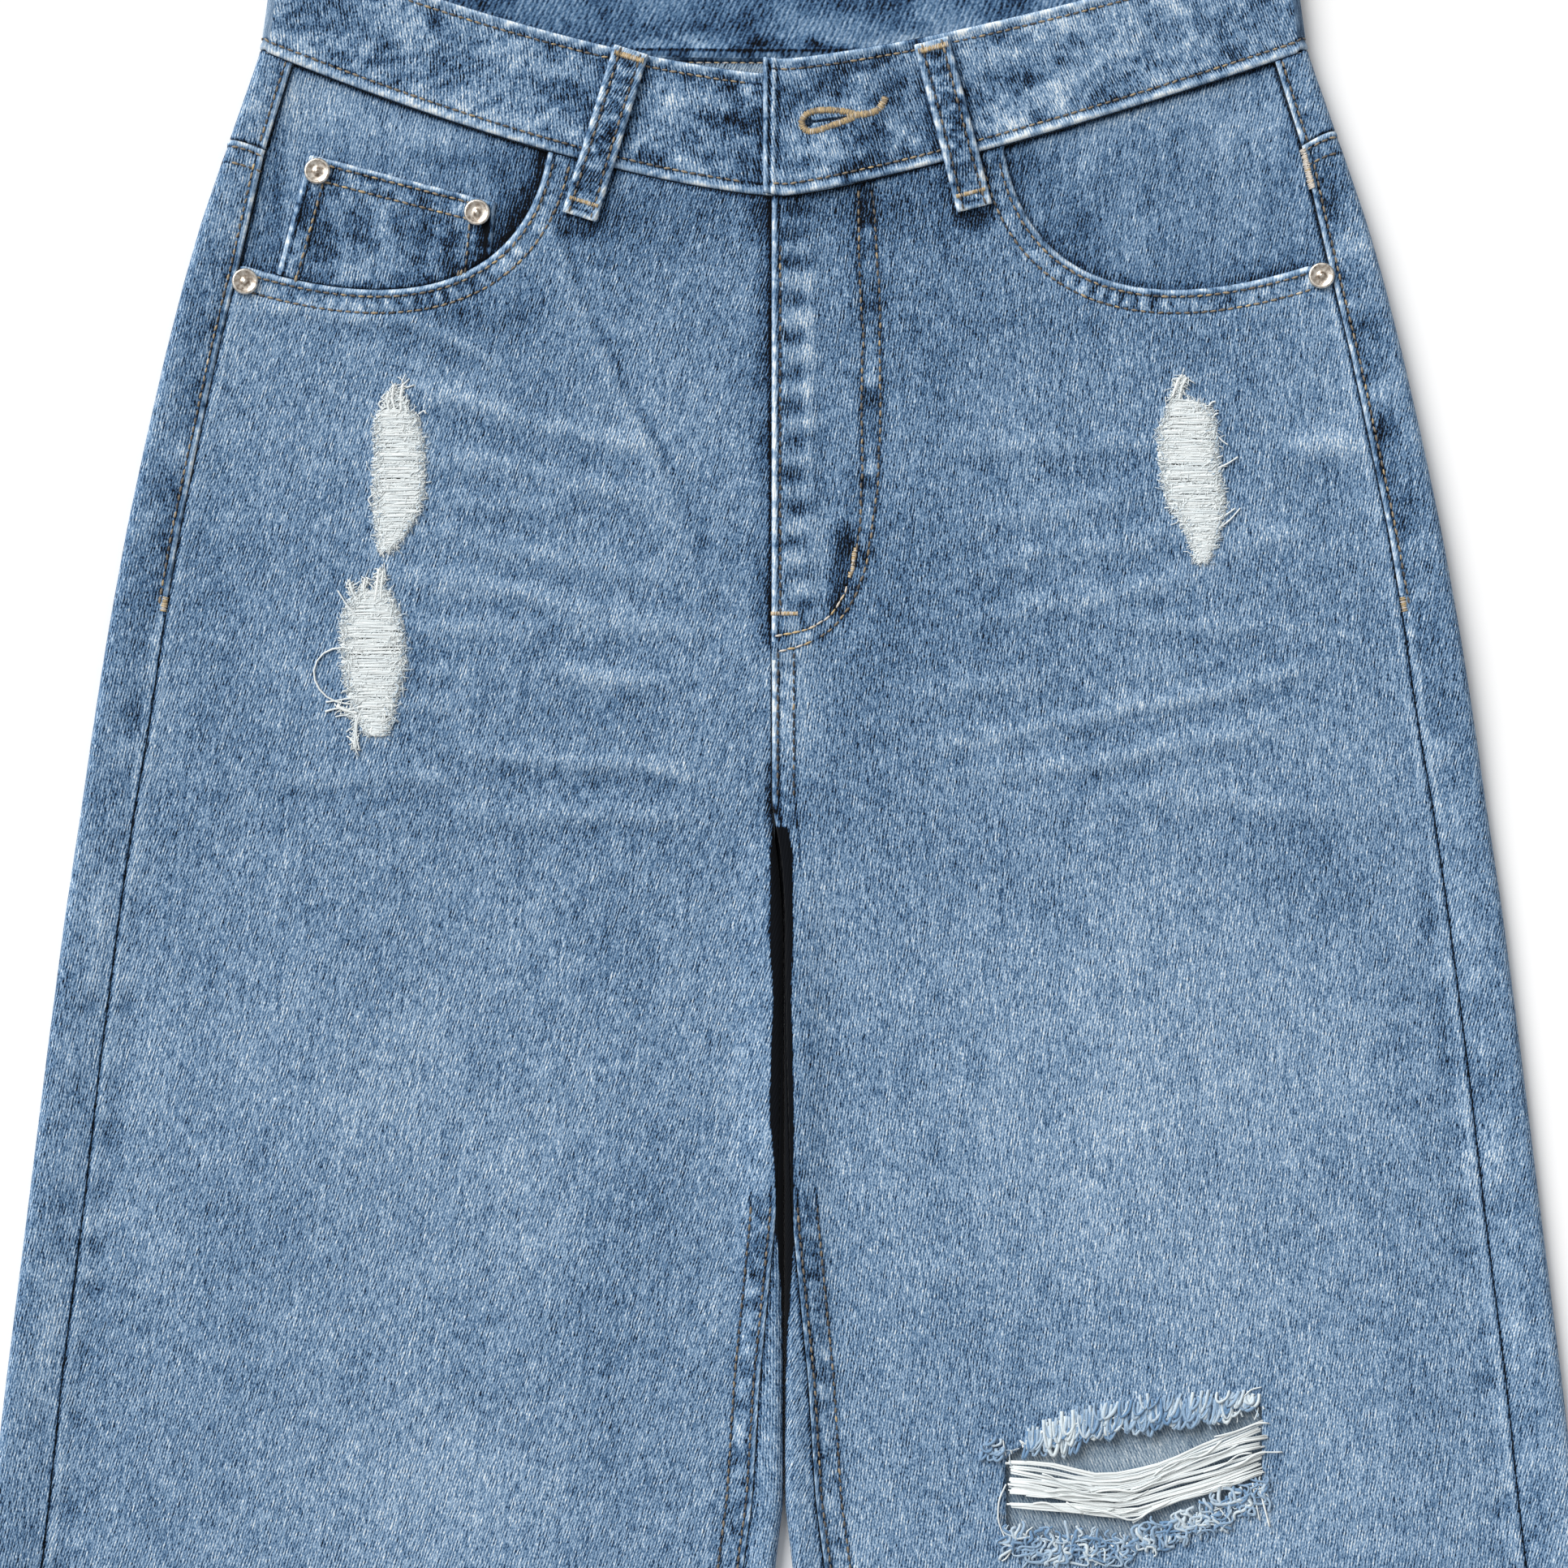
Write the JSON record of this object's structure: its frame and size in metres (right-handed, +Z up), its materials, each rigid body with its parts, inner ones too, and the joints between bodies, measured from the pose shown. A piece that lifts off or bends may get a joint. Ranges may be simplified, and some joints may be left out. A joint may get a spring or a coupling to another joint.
{
  "type": "ripped jeans",
  "caption": "Wide-leg light blue denim jeans lying flat on their back, with frayed rips on both thighs and one knee, a curved waist, slanting pockets and a plain fly.",
  "frame": {"origin": "middle of the garment's outline, on the surface it lies on", "axes": "+Y from the hems to the waist, +Z up out of the front, +X towards the wearer's left leg"},
  "size_m": [0.6578, 1.003, 0.0096],
  "materials": {
    "denim": "stone-washed right-hand twill with white and tan topstitching, faded at the seams and across the thighs",
    "facing_denim": "the same twill, less faded",
    "torn_threads": "bleached loose weft threads and frayed warp ends",
    "rivet_metal": "pale plated metal, plain, with a raised rim",
    "zip": "woven zip tape with its closed chain, hidden under the fly"
  },
  "bodies": {
    "root": {"front_right": "denim", "front_left": "denim", "back_right": "denim", "back_left": "denim", "yoke_right": "denim", "yoke_left": "denim", "waistband": "denim", "coin_pocket": "denim", "belt_loop_front_right": "denim", "belt_loop_front_left": "denim", "belt_loop_back_right": "denim", "belt_loop_back_centre": "denim", "belt_loop_back_left": "denim", "back_pocket_right": "denim", "back_pocket_left": "denim", "pocket_facing_right": "facing_denim", "pocket_facing_left": "facing_denim", "torn_threads_knee": "torn_threads", "torn_threads_thigh_upper": "torn_threads", "torn_threads_thigh_lower": "torn_threads", "torn_threads_thigh_left": "torn_threads", "rivet_coin_outer": "rivet_metal", "rivet_coin_inner": "rivet_metal", "rivet_pocket_right": "rivet_metal", "rivet_pocket_left": "rivet_metal", "fly_zip": "zip"}
  },
  "joints": []
}
